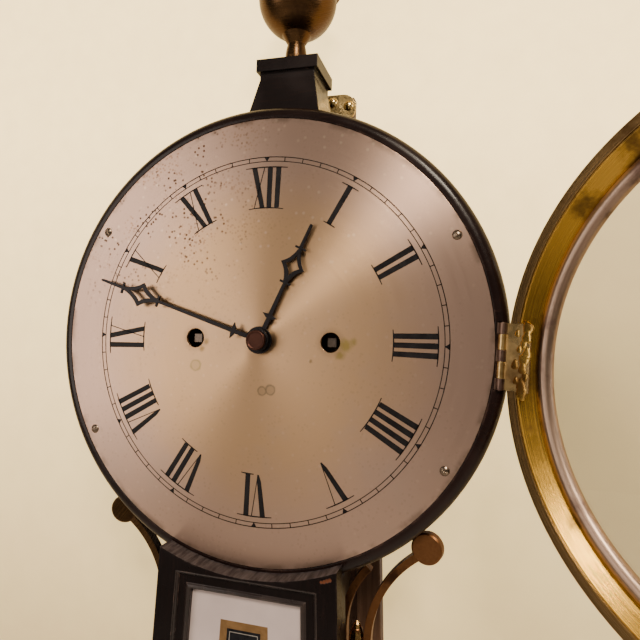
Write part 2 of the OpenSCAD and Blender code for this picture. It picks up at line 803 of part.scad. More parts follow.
// outline of a hand: hub, stem, pierced diamond with concave sides, barbs and tip
module hand_outline(hub, barb, d0, d1, wide, len, stem, tip) {
    mid = (d0 + d1) / 2;
    right = concat(bowed([stem * 0.7, d0], [wide, mid], 0.9), bowed([wide, mid], [stem * 0.6, d1], 0.9));
    in0 = [0, d0 + (d1 - d0) * 0.2];
    in1 = [0, d1 - (d1 - d0) * 0.17];
    hole = concat(bowed(in0, [wide * 0.6, mid], 0.55), bowed([wide * 0.6, mid], in1, 0.55));
    circle(r = hub);
    polygon([[-stem / 2 - 0.35, 0], [stem / 2 + 0.35, 0], [stem / 2, d0], [-stem / 2, d0]]);
    difference() {
        polygon(concat(right, flip(right)));
        polygon(concat(hole, flip(hole)));
    }
    polygon([[-stem * 0.55, d1 - 0.4], [stem * 0.55, d1 - 0.4], [stem * 0.42, len - 1], [tip, len],
             [-tip, len], [-stem * 0.42, len - 1]]);
    for (z = [d0 - 0.3, d1 + 0.9]) translate([-2.7, z - 0.5]) square([5.4, 1]);
    spur = [[1.4, barb - 0.9], [3.8, barb + 0.6], [1.3, barb + 1.1]];
    polygon(concat(spur, flip(spur)));
}

module minute_hand() {
    color("#101010") place() difference() {
        slab(-4, -3.2) rotate(minute_angle) hand_outline(5.3, 12.5, 54.3, 73.4, 5.8, minute_len, 1.4, 0.3);
        rod(2.2, -10, 10);
    }
}

module hour_hand() {
    color("#101010") place() difference() {
        slab(-2.4, -1.6) rotate(hour_angle) hand_outline(6.2, 11.6, 28.8, 44.3, 6, hour_len, 1.6, 0.55);
        rod(3.6, -10, 10);
    }
}

module hand_washers() {
    color("#181513") place() difference() {
        union() {
            rod(5.3, -4.5, -4.02);
            rod(4.9, -4.9, -4.5);
        }
        rod(1.3, -10, 0);
    }
}

module hand_nut() {
    outline = concat([[1.22, -4.92], [4.5, -4.92]], arc(3.9, -6, 0.6, 0, -90, 4),
                     [[3.3, -6.3], [0, -6.3], [0, -5.75], [1.22, -5.75]]);
    color("#6a4334") place() difference() {
        turned() polygon(outline);
        for (i = [0:35]) rotate([0, i * 10, 0]) translate([4.55, -7, 0])
            rotate([-90, 0, 0]) cylinder(r = 0.16, h = 3, $fn = 4);
    }
}

// ---- strike train -----------------------------------------------------------------------------------
module strike_barrel() { color("#b8924c") place() barrel(-1, 36.5); }
module strike_winding_arbor() { color("#8d8f92") place() winding_arbor(-1); }

module pin_wheel() {
    color("#b8924c") place() translate([pin_x, 0, pin_z]) {
        rod(1.2, front_plate_y, rear_plate_y + brass_t);
        slab(36, 39) toothed(leaf_n, great_m, pin_angle + 180 - 180 / leaf_n);
        difference() {
            rod(14, 40, 41.2);
            rod(1.19, 39, 42);
        }
        for (i = [0:7]) rotate([0, i * 45, 0]) rod(0.6, 38.9, 40.1, 12, 0);
    }
}

// hammer: arbor, lifting tail, rod and head beside the gong
module hammer() {
    lift = atan2(pin_z - hammer_z, pin_x - hammer_x);
    tail = norm([pin_x - hammer_x, pin_z - hammer_z]) - 13.8;
    aim = atan2(head_z - hammer_z, head_x - hammer_x);
    color("#8d8f92") place() {
        rod(1.5, front_plate_y, 52.5, hammer_x, hammer_z);
        translate([hammer_x, 0, hammer_z]) {
            slab(39, 39.8) {
                circle(r = 3);
                rotate(lift) translate([0, -0.9]) square([tail, 1.8]);
            }
            slab(50, 52) {
                circle(r = 3);
                rotate(aim) translate([0, -0.9]) square([44, 1.8]);
            }
        }
        translate([head_x, 51, head_z]) rotate([0, 90 - atan2(head_z, head_x), 0])
            cylinder(r = 4, h = 10, center = true);
    }
}

// part of a wire ring about the depth axis, from angle a0 over the sweep
module wire_ring(r, a0, sweep) {
    translate([0, 51, 0]) rotate([90, 0, 0]) rotate([0, 0, a0])
        rotate_extrude(angle = sweep, $fn = 180) translate([gong_r, 0]) circle(r = r, $fn = 24);
}

module gong_coil() { color("#6f7275") place() wire_ring(1.4, -58, 296); }

module gong_block() {
    color("#33302d") place() difference() {
        rotate([0, 60, 0]) block([gong_r - 7, 46, -3], [gong_r + 3.6, back_y, 9]);
        wire_ring(1.5, -70, 40);
    }
}

// ---- drawing ---------------------------------------------------------------------------------------------
head_back();
head_hoop();
head_rim();
dial();
dial_screws();
plinth();
finial();
hanger_plate();
hanger_screws();
throat_back();
throat_side_left();
throat_side_right();
throat_frame();
throat_glass();
box_back();
box_side_left();
box_side_right();
box_top();
box_bottom();
side_arm_left();
side_arm_right();
arm_screws();
rim_hinge_leaf();
rim_hinge_pin();
box_hinge_leaves();
bezel_ring();
bezel_glass();
bezel_retainer();
bezel_hinge_leaf();
door_frame();
door_glass();
door_hinge_leaves();
door_latch();
front_plate();
rear_plate();
pillars();
suspension_cock();
gong_coil();
gong_block();
going_barrel();
going_winding_arbor();
centre_wheel();
third_wheel();
escape_wheel();
anchor();
suspension_spring();
pendulum_rod();
pendulum_bob();
rating_nut();
minute_wheel();
hour_wheel();
hour_hand();
cannon_pinion();
minute_hand();
hand_washers();
hand_nut();
strike_barrel();
strike_winding_arbor();
pin_wheel();
hammer();
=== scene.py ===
"""Looks of a banjo clock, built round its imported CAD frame. Lengths are metres, in the row frame."""
import json
import math

import bmesh
import bpy
import numpy as np
from mathutils import Matrix, Vector


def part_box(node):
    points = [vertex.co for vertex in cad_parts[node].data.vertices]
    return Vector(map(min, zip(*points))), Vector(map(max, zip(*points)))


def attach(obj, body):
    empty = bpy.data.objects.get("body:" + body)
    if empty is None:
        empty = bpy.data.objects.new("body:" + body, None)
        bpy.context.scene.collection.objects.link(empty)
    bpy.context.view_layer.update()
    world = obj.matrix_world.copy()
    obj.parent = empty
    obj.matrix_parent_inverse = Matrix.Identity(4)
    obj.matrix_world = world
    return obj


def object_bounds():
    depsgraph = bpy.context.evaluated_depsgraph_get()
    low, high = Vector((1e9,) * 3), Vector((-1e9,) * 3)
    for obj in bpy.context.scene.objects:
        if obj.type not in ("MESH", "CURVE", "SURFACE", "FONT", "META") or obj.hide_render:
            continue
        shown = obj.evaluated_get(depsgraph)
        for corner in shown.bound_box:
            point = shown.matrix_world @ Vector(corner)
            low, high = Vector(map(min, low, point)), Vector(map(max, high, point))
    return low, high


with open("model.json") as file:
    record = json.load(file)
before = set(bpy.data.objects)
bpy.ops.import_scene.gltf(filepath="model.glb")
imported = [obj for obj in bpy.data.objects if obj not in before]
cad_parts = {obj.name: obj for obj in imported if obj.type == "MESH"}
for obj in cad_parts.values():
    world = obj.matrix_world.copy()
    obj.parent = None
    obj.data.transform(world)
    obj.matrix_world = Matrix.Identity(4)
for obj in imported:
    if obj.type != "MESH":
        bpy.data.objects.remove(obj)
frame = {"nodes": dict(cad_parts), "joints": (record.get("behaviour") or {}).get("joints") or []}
cad_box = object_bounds()

MM = 0.001
NODES = frame["nodes"]
MINUTE_SHARE = 0.8268  # radius of the minute track as a share of the dial's
HOLE_X = 32.8          # the winding holes' distance from the dial centre, mm
FLANGE_R = 0.0982      # where the bezel's step ends and its outer flange begins


# ---- places taken from the frame -------------------------------------------------------------
def middle(node):
    low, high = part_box(node)
    return (low + high) / 2


dial_low, dial_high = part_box("dial")
DIAL_R = (dial_high.x - dial_low.x) / 2
CENTRE = Vector((middle("dial").x, dial_low.y, middle("dial").z))
MINUTE_R = DIAL_R * MINUTE_SHARE
hinge = next(j for j in frame["joints"] if j["name"] == "bezel_hinge")
OPEN_ANGLE = -math.radians(hinge["range_deg"][0])
HINGE = Vector(hinge["pos_m"])
OPENED = (
    Matrix.Translation(HINGE)
    @ Matrix.Rotation(OPEN_ANGLE, 4, Vector(hinge["axis"]))
    @ Matrix.Translation(-HINGE)
)


def at_dial(x, y, z):
    """A point given in millimetres from the dial centre: right, back from the dial face, up."""
    return CENTRE + Vector((x, y, z)) * MM


# ---- materials ---------------------------------------------------------------------------------
SOCKETS = {
    "metallic": "Metallic",
    "rough": "Roughness",
    "ior": "IOR",
    "coat": "Coat Weight",
    "coat_rough": "Coat Roughness",
    "aniso": "Anisotropic",
    "spec": "Specular IOR Level",
    "trans": "Transmission Weight",
}


RING_STRETCH = 0.00034  # how much slower a pattern changes along a ring than across it, metres


class Finish:
    """A Principled material. Its patterns are made by nodes from the piece's own coordinates."""

    def __init__(self, name, colour=(0.8, 0.8, 0.8), **numbers):
        self.mat = bpy.data.materials.new(name)
        self.mat.use_nodes = True
        self.tree = self.mat.node_tree
        self.tree.nodes.clear()
        self.bsdf = self.node("BsdfPrincipled")
        self.out = self.node("OutputMaterial")
        self.feed(self.out.inputs[0], self.bsdf.outputs[0])
        self.place = self.node("TexCoord").outputs["Object"]
        self.bsdf.inputs["Base Color"].default_value = (*colour, 1)
        for key, value in numbers.items():
            self.bsdf.inputs[SOCKETS[key]].default_value = value

    def node(self, kind, **settings):
        made = self.tree.nodes.new("ShaderNode" + kind)
        for key, value in settings.items():
            setattr(made, key, value)
        return made

    def feed(self, socket, value):
        if isinstance(value, bpy.types.NodeSocket):
            self.tree.links.new(value, socket)
        elif isinstance(value, (tuple, list)) and socket.type == "RGBA":
            socket.default_value = (*value, 1)
        elif value is not None:
            socket.default_value = value

    def calc(self, op, a, b=None, c=None):
        made = self.node("Math", operation=op)
        for socket, value in zip(made.inputs, (a, b, c)):
            self.feed(socket, value)
        return made.outputs[0]

    def vector(self, op, a, b=None):
        made = self.node("VectorMath", operation=op)
        for socket, value in zip(made.inputs, (a, b)):
            self.feed(socket, value)
        return made.outputs["Value" if op in ("LENGTH", "DOT_PRODUCT", "DISTANCE") else "Vector"]

    def scaled(self, stretch, at=None):
        return self.vector("MULTIPLY", at or self.place, tuple(stretch))

    def noise(self, scale, detail=3, rough=0.55, at=None, stretch=None):
        made = self.node("TexNoise")
        self.feed(made.inputs["Vector"], self.scaled(stretch, at) if stretch else (at or self.place))
        made.inputs["Scale"].default_value = scale
        made.inputs["Detail"].default_value = detail
        made.inputs["Roughness"].default_value = rough
        return made.outputs["Fac"]

    def rings(self, centre, axis):
        """Distance from an axis, and a place that changes quickly across rings and slowly along them."""
        axis = Vector(axis).normalized()
        side = axis.orthogonal().normalized()
        p = self.vector("SUBTRACT", self.place, tuple(centre))
        along = self.vector("DOT_PRODUCT", p, tuple(axis))
        spread = self.node("VectorMath", operation="SCALE")
        spread.inputs[0].default_value = tuple(axis)
        self.feed(spread.inputs["Scale"], along)
        flat = self.vector("SUBTRACT", p, spread.outputs[0])
        r = self.vector("LENGTH", flat)
        way = self.vector("NORMALIZE", flat)
        at = self.node("CombineXYZ")
        self.feed(at.inputs[0], self.calc("ADD", r, self.times(along, 0.7)))
        for socket, direction in zip(at.inputs[1:], (side, axis.cross(side))):
            self.feed(socket, self.times(self.vector("DOT_PRODUCT", way, tuple(direction)), RING_STRETCH))
        return r, at.outputs[0]

    def dots(self, scale, radius, soft=0.5):
        """Round dots on the upright plane of the dial, their radius a share of their spacing."""
        flat = self.node("CombineXYZ")
        self.feed(flat.inputs[0], self.axis("X"))
        self.feed(flat.inputs[1], self.axis("Z"))
        made = self.node("TexVoronoi", voronoi_dimensions="2D")
        self.feed(made.inputs["Vector"], flat.outputs[0])
        made.inputs["Scale"].default_value = scale
        return self.band(made.outputs["Distance"], radius, radius * (1 - soft))

    def band(self, value, low, high, out_low=0.0, out_high=1.0, shape="SMOOTHSTEP"):
        """value taken from low..high to out_low..out_high, with a smooth or a LINEAR shape."""
        made = self.node("MapRange", interpolation_type=shape)
        for key, number in zip(("Value", "From Min", "From Max", "To Min", "To Max"),
                               (value, low, high, out_low, out_high)):
            self.feed(made.inputs[key], number)
        return made.outputs[0]

    def mix(self, share, a, b, blend="MIX"):
        made = self.node("Mix", data_type="RGBA", blend_type=blend)
        self.feed(made.inputs["Factor"], share)
        self.feed(made.inputs[6], a)
        self.feed(made.inputs[7], b)
        return made.outputs[2]

    def times(self, a, b):
        return self.calc("MULTIPLY", a, b)

    def axis(self, name, at=None):
        made = self.node("SeparateXYZ")
        self.feed(made.inputs[0], at or self.place)
        return made.outputs[name]

    def rounded(self, radius):
        """The normal of the shape with its edges rounded to this radius."""
        made = self.node("Bevel", samples=4)
        made.inputs["Radius"].default_value = radius
        return made.outputs[0]

    def edges(self, radius):
        """1 along outer and inner edges, 0 on open faces."""
        normal = self.node("NewGeometry").outputs["Normal"]
        flat = self.vector("DOT_PRODUCT", self.rounded(radius), normal)
        return self.band(flat, 0.985, 0.86)

    def spot(self, centre, radius, soft=0.4, ragged=0.0):
        """1 inside a round spot, with an edge that is soft and ragged by shares of the radius."""
        distance = self.calc("DIVIDE", self.vector("DISTANCE", self.place, tuple(centre)), radius)
        if ragged:
            wander = self.calc("SUBTRACT", self.noise(0.8 / radius, 4, 0.6), 0.5)
            distance = self.calc("MULTIPLY_ADD", wander, 2 * ragged, distance)
        return self.band(distance, 1.0, 1.0 - soft)

    def bump(self, height, distance, strength=1.0, normal=None):
        made = self.node("Bump")
        made.inputs["Strength"].default_value = strength
        made.inputs["Distance"].default_value = distance
        self.feed(made.inputs["Height"], height)
        self.feed(made.inputs["Normal"], normal)
        return made.outputs[0]

    def finish(self, colour, rough, normal=None):
        self.feed(self.bsdf.inputs["Base Color"], colour)
        self.feed(self.bsdf.inputs["Roughness"], rough)
        self.feed(self.bsdf.inputs["Normal"], normal)
        return self.mat


def ebonized(name, worn, along, tint=(0.0075, 0.0032, 0.0027), shine=0.28):
    """Near-black polished mahogany: faint grain, rubbed brown edges, small nicks and dust."""
    f = Finish(name, rough=0.3, coat=0.1, coat_rough=0.1, spec=shine)
    stretch = {"X": (0.06, 1, 1), "Z": (1, 1, 0.06)}[along]
    grain = f.noise(1400, 5, 0.65, stretch=stretch)
    cloud = f.noise(28, 3)
    edge = f.edges(0.0011)
    rub = f.times(edge, f.band(f.noise(160, 4, 0.7), 0.62 - 0.22 * worn, 0.78 - 0.16 * worn))
    nicks = f.times(f.band(f.noise(620, 4, 0.75), 0.72, 0.8), f.band(f.noise(60, 2), 0.45, 0.62))
    wear = f.calc("MAXIMUM", rub, f.times(nicks, 0.7 * worn))
    base = f.mix(f.band(cloud, 0.35, 0.7), tint, tuple(1.9 * c for c in tint))
    base = f.mix(f.band(grain, 0.52, 0.75), base, (0.015, 0.007, 0.005))
    colour = f.mix(wear, base, (0.105, 0.055, 0.038))
    rough = f.calc("ADD", f.band(cloud, 0.3, 0.7, 0.2, 0.36), f.times(wear, 0.3))
    height = f.calc("SUBTRACT", f.times(grain, 0.35), f.times(wear, 0.6))
    return f.finish(colour, rough, f.bump(height, 0.00022, 0.5, f.rounded(0.0006)))


def metal(name, colour, tarnish, amount, rough, edge=0.5, bump=0.3, grain=900, turned=None,
          stretch=(1, 1, 1), outer=None):
    """Worn brass, bronze or steel: tarnish in patches, rubbed edges, fine scratches.

    turned gives the centre and axis of a turned part, whose scratches run round it. outer gives a
    radius and the colour of the flange beyond it.
    """
    f = Finish(name, metallic=1.0)
    patch = f.band(f.noise(45, 5, 0.62), 0.62 - 0.3 * amount, 0.8 - 0.16 * amount)
    if turned:
        r, ring = f.rings(*turned)
        fine = f.noise(3800, 3, 0.7, at=ring)
        dirt = f.band(f.noise(900, 3, 0.6, at=ring), 0.48, 0.7)
    else:
        fine = f.noise(grain, 4, 0.6, stretch=stretch)
        dirt = f.band(f.noise(170, 4, 0.6), 0.5, 0.72)
    rub = f.times(f.edges(0.0008), edge)
    share = f.times(f.calc("MAXIMUM", patch, f.times(dirt, 0.55 * amount)), amount + 0.35)
    share = f.calc("SUBTRACT", share, rub)
    if outer:
        colour = f.mix(f.band(r, outer[0] - 0.0004, outer[0] + 0.0004), colour, outer[1])
    tone = f.mix(f.band(fine, 0.3, 0.7), f.mix(1.0, colour, (0.84, 0.84, 0.84), "MULTIPLY"), colour)
    colour = f.mix(f.band(share, 0.0, 1.0), tone, tarnish)
    shine = f.calc("ADD", f.band(fine, 0.3, 0.75, rough - 0.07, rough + 0.07), f.times(patch, 0.14))
    return f.finish(colour, shine, f.bump(fine, 0.00012, bump, f.rounded(0.00035)))


def silvered_dial():
    """Silvered brass brushed in circles, warmer inside the minute track, with stains and specks."""
    f = Finish("silvered_dial", metallic=1.0, aniso=0.8)
    tangent = f.node("Tangent", direction_type="RADIAL", axis="Y")
    f.feed(f.bsdf.inputs["Tangent"], tangent.outputs[0])
    f.bsdf.inputs["Anisotropic Rotation"].default_value = 0.25
    p = f.vector("SUBTRACT", f.place, tuple(CENTRE))
    r, ring = f.rings(CENTRE, (0, 1, 0))
    brushed = f.noise(5200, 3, 0.7, at=ring)
    cloud = f.noise(26, 4, 0.6)
    warm, cool = (0.66, 0.42, 0.235), (0.60, 0.405, 0.31)
    share = f.calc("MULTIPLY_ADD", f.calc("SUBTRACT", cloud, 0.5), 0.03, r)
    colour = f.mix(f.band(share, 0.045, 0.088), warm, cool)
    colour = f.mix(f.band(brushed, 0.3, 0.7, 0.0, 0.05), colour, (0.34, 0.24, 0.17))
    colour = f.mix(f.band(cloud, 0.5, 0.8, 0.0, 0.3), colour, (0.52, 0.40, 0.33))
    # brown specks, thickest at the upper left, and pale spots along the top
    upper = f.band(f.axis("Z", p), 0.0, 0.06)
    left = f.band(f.axis("X", p), 0.02, -0.04)
    specks = f.calc("MAXIMUM", f.dots(300, 0.2), f.dots(140, 0.1))
    where = f.calc("MAXIMUM", f.times(upper, left), 0.12)
    rust = f.times(f.times(f.dots(500, 0.32), f.times(upper, left)), f.band(f.noise(48, 3), 0.5, 0.6))
    colour = f.mix(f.times(rust, 0.55), colour, (0.30, 0.14, 0.06))
    specks = f.times(f.times(specks, where), f.band(f.noise(90, 3), 0.45, 0.6))
    colour = f.mix(f.times(specks, 0.8), colour, (0.12, 0.058, 0.026))
    pale = f.times(f.dots(125, 0.13, 0.8), f.calc("MAXIMUM", upper, 0.35))
    pale = f.times(pale, f.band(f.noise(60), 0.42, 0.6))
    colour = f.mix(f.times(pale, 0.5), colour, (0.86, 0.66, 0.48))
    # stains in mm: three dried rings, greenish smears by the right hole, brown ones by the left
    dried_rings = ((-32.1, -12.7, 3.2, (0.36, 0.27, 0.11)), (5.6, -22.2, 2.9, (0.22, 0.17, 0.11)),
                   (1.6, -22.9, 2.6, (0.24, 0.18, 0.11)))
    for x, z, size, tint in dried_rings:
        outer = f.spot(at_dial(x, 0, z), size * MM, 0.3, 0.25)
        inner = f.spot(at_dial(x, 0, z), 0.74 * size * MM, 0.3, 0.25)
        line = f.calc("SUBTRACT", outer, f.times(inner, 0.6))
        colour = f.mix(f.times(line, 0.8), colour, tint)
    smears = ((39.6, -1.6, 4.4, (0.36, 0.27, 0.06)), (37.3, -5.4, 3.2, (0.34, 0.25, 0.07)),
              (43.4, 0.6, 2.2, (0.40, 0.29, 0.09)), (-27.0, -1.6, 2.2, (0.30, 0.19, 0.07)),
              (-29.2, -4.8, 1.9, (0.32, 0.20, 0.07)), (24.0, -8.6, 1.2, (0.28, 0.18, 0.08)))
    for x, z, size, tint in smears:
        stain = f.spot(at_dial(x, 0, z), size * MM, 0.8, 0.6)
        colour = f.mix(f.times(stain, 0.8), colour, tint)
    for x in (-HOLE_X, 0.0, HOLE_X):
        halo = f.spot(at_dial(x, 0, 0), 7.6 * MM, 0.42, 0.1)
        colour = f.mix(f.times(halo, 0.3), colour, (0.24, 0.15, 0.09))
    # a mottled darker ring at the dial's outer edge, where it meets the rim
    dark_edge_ring = f.times(f.band(r, 0.0985, 0.1016), f.band(f.noise(90), 0.4, 0.6))
    colour = f.mix(f.times(dark_edge_ring, 0.6), colour, (0.16, 0.11, 0.08))
    rough = f.calc("ADD", f.band(brushed, 0.25, 0.75, 0.3, 0.35), f.times(specks, 0.3))
    return f.finish(colour, rough, f.bump(brushed, 0.00005, 0.05, f.rounded(0.0003)))


def enamel(name, tint, rough, chipped, shows=(0.4, 0.3, 0.22)):
    """Paint or wax laid on thinly: a little mottled, with small losses."""
    f = Finish(name, spec=0.15)
    mottle = f.noise(300, 4, 0.6)
    lost = f.times(f.band(f.noise(1500, 3, 0.7), 0.66, 0.74), chipped)
    colour = f.mix(f.band(mottle, 0.35, 0.7), tint, tuple(1.35 * c + 0.002 for c in tint))
    colour = f.mix(lost, colour, shows)
    sheen = f.band(mottle, 0.3, 0.7, rough - 0.06, rough + 0.1)
    return f.finish(colour, sheen, f.bump(mottle, 0.00005, 0.4))


def milk_glass():
    """White paint behind glass: bright and smooth, faintly uneven, with a little dust."""
    f = Finish("milk_glass", rough=0.12, coat=0.8, coat_rough=0.04)
    cloud = f.noise(40, 3)
    dust = f.band(f.noise(700, 4, 0.7), 0.6, 0.8)
    colour = f.mix(f.band(cloud, 0.3, 0.7), (0.50, 0.405, 0.395), (0.57, 0.465, 0.45))
    colour = f.mix(f.times(dust, 0.25), colour, (0.42, 0.36, 0.34))
    return f.finish(colour, f.band(dust, 0, 1, 0.1, 0.2))


def clear_glass():
    """Old clear glass: very slightly wavy, with a little dust."""
    f = Finish("clear_glass", colour=(0.96, 0.98, 0.97), ior=1.48, trans=1.0)
    dust = f.band(f.noise(500, 4, 0.7), 0.62, 0.8)
    return f.finish(None, f.band(dust, 0, 1, 0.01, 0.07), f.bump(f.noise(18, 2), 0.0003, 0.15))


def worn_end_grain(name):
    """The throat frame: ebonized, with a dry grey top face, fine cross grain and one raw chip."""
    f = Finish(name, rough=0.3, spec=0.16)
    grain = f.noise(1400, 5, 0.65, stretch=(1, 1, 0.06))
    cloud = f.noise(30, 3)
    up = f.axis("Z", f.node("NewGeometry").outputs["Normal"])
    above = f.band(f.axis("Z"), CENTRE.z - 0.112, CENTRE.z - 0.108)
    top = f.times(f.band(up, 0.35, 0.75), above)
    streak = f.noise(520, 5, 0.75, stretch=(1, 0.12, 1))
    edge = f.times(f.edges(0.0012), f.band(f.noise(170, 4, 0.7), 0.48, 0.68))
    base = f.mix(f.band(grain, 0.5, 0.75), (0.004, 0.0018, 0.002), (0.010, 0.0042, 0.0036))
    grey = f.mix(f.band(streak, 0.35, 0.68), (0.018, 0.0135, 0.015), (0.085, 0.07, 0.07))
    colour = f.mix(f.times(edge, 0.7), base, (0.085, 0.06, 0.052))
    colour = f.mix(f.times(top, 0.95), colour, grey)
    chip = f.spot(at_dial(38.4, -9.5, -98.0), 0.9 * MM, 0.4, 0.5)
    for x, z, size in ((37.2, -98.4, 1.1), (36.0, -98.9, 1.0), (34.8, -99.3, 0.8)):
        chip = f.calc("MAXIMUM", chip, f.spot(at_dial(x, -9.5, z), size * MM, 0.4, 0.6))
    colour = f.mix(chip, colour, (0.12, 0.038, 0.017))
    dry = f.calc("MAXIMUM", top, chip)
    rough = f.calc("ADD", f.band(cloud, 0.3, 0.7, 0.22, 0.36), f.times(dry, 0.32))
    height = f.calc("ADD", f.times(grain, 0.3), f.times(f.times(streak, top), 1.2))
    height = f.calc("SUBTRACT", height, f.times(chip, 1.6))
    return f.finish(colour, rough, f.bump(height, 0.00035, 0.6, f.rounded(0.0006)))


def plain_board(name):
    """Unpolished old mahogany for the backs: long upright grain, pores, scuffs and water marks."""
    f = Finish(name, spec=0.25)
    wander = f.noise(7, 2, stretch=(1, 1, 0.3))
    at = f.node("CombineXYZ")
    f.feed(at.inputs[0], f.calc("MULTIPLY_ADD", wander, 0.05, f.axis("X")))
    f.feed(at.inputs[1], f.axis("Y"))
    f.feed(at.inputs[2], f.times(f.axis("Z"), 0.05))
    grain = f.noise(240, 5, 0.7, at=at.outputs[0])
    pores = f.band(f.noise(1500, 3, 0.7, at=at.outputs[0]), 0.58, 0.7)
    mark = f.band(f.noise(11, 3), 0.5, 0.68)
    scuff = f.times(f.edges(0.0012), f.band(f.noise(120, 3), 0.45, 0.65))
    colour = f.mix(f.band(grain, 0.3, 0.7), (0.085, 0.042, 0.024), (0.155, 0.085, 0.05))
    colour = f.mix(f.times(pores, 0.7), colour, (0.035, 0.018, 0.012))
    colour = f.mix(f.times(mark, 0.3), colour, (0.07, 0.042, 0.03))
    colour = f.mix(f.times(scuff, 0.7), colour, (0.24, 0.15, 0.09))
    rough = f.band(grain, 0.3, 0.7, 0.52, 0.7)
    height = f.calc("SUBTRACT", grain, pores)
    return f.finish(colour, rough, f.bump(height, 0.0003, 0.5, f.rounded(0.0006)))


def plaster(name, colour):
    """Matt paint on plaster, for the stage."""
    f = Finish(name, rough=0.9)
    fine = f.noise(260, 4, 0.6)
    shade = f.mix(f.band(f.noise(3.0, 2), 0.3, 0.7), colour, tuple(0.96 * c for c in colour))
    f.finish(shade, None, f.bump(fine, 0.0006, 0.25))
    return f


BEZEL_TURNED = (OPENED @ CENTRE, OPENED.to_3x3() @ Vector((0, 1, 0)))


MAT = {
    "dial": silvered_dial(),
    "rim": ebonized("rim_wood", 0.75, "X", shine=0.2),
    "wood_z": ebonized("case_wood_upright", 0.5, "Z"),
    "wood_x": ebonized("case_wood_level", 0.5, "X"),
    "plinth": ebonized("plinth_wood", 0.25, "X", (0.0065, 0.0038, 0.0036)),
    "throat": worn_end_grain("throat_wood"),
    "back": plain_board("back_board"),
    "bead": ebonized("bead_wood", 0.55, "Z", (0.009, 0.004, 0.0035), shine=0.6),
    "bezel": metal("bezel_brass", (0.56, 0.315, 0.05), (0.07, 0.037, 0.014), 0.5, 0.25, edge=0.3,
                   turned=BEZEL_TURNED, outer=(FLANGE_R, (0.25, 0.155, 0.065))),
    "retainer": metal("retainer_bronze", (0.36, 0.25, 0.185), (0.13, 0.08, 0.065), 0.5, 0.34, edge=0.3,
                      turned=BEZEL_TURNED),
    "leaf": metal("hinge_brass", (0.66, 0.46, 0.2), (0.17, 0.1, 0.04), 0.5, 0.27, edge=0.3, grain=160),
    "leaf_dark": metal("hinge_tarnished", (0.2, 0.13, 0.1), (0.06, 0.035, 0.035), 0.6, 0.36, edge=0.4),
    "solder": metal("solder", (0.60, 0.37, 0.09), (0.2, 0.105, 0.03), 0.7, 0.2, edge=0.1, grain=140),
    # the finial's bronze; the left side arm wears it too, where its darker colour is painted shade
    "bronze": metal("patinated_bronze", (0.10, 0.054, 0.024), (0.032, 0.017, 0.01), 0.45, 0.27, edge=0.8,
                    turned=((0, 0, 0), (0, 0, 1))),
    # a lighter copy of the same bronze for the right side arm alone: painted light
    "arm": metal("right_arm_bronze_painted_light", (0.21, 0.093, 0.038), (0.05, 0.022, 0.013), 0.58, 0.36, edge=1.0),
    "copper": metal("copper_nut", (0.075, 0.034, 0.026), (0.04, 0.018, 0.015), 0.5, 0.45, edge=0.8, bump=0.9),
    "brass": metal("plate_brass", (0.66, 0.47, 0.2), (0.24, 0.15, 0.07), 0.4, 0.3, edge=0.5),
    "bright": metal("bright_brass", (0.86, 0.63, 0.26), (0.32, 0.2, 0.08), 0.2, 0.2, edge=0.3),
    "works": metal("movement_brass", (0.78, 0.59, 0.28), (0.4, 0.27, 0.12), 0.25, 0.28, stretch=(1, 1, 0.06)),
    "gold": metal("bud_gold", (0.42, 0.25, 0.09), (0.12, 0.065, 0.025), 0.4, 0.26, edge=0.6),
    "screw": metal("screw_brass", (0.20, 0.15, 0.11), (0.06, 0.04, 0.03), 0.4, 0.3, edge=0.5),
    "steel": metal("turned_steel", (0.34, 0.31, 0.28), (0.16, 0.12, 0.1), 0.3, 0.28, edge=0.3),
    "winding": metal("winding_steel", (0.15, 0.12, 0.10), (0.07, 0.05, 0.04), 0.4, 0.34, edge=0.8),
    "blued": metal("blackened_steel", (0.028, 0.026, 0.028), (0.05, 0.035, 0.03), 0.3, 0.4, edge=0.25),
    "iron": metal("black_iron", (0.06, 0.058, 0.056), (0.09, 0.06, 0.045), 0.4, 0.55, edge=0.3, bump=0.9),
    "milk": milk_glass(),
    "clear": clear_glass(),
    "ink": enamel("numeral_black", (0.008, 0.007, 0.008), 0.42, 0.25),
    "gilt": enamel("gilt_paint", (0.15, 0.083, 0.033), 0.38, 0.3, (0.1, 0.06, 0.03)),
    "black_paint": enamel("black_paint", (0.006, 0.006, 0.008), 0.3, 0.15, (0.2, 0.18, 0.16)),
    "white_line": enamel("white_line", (0.24, 0.22, 0.2), 0.4, 0.3, (0.05, 0.05, 0.05)),
}
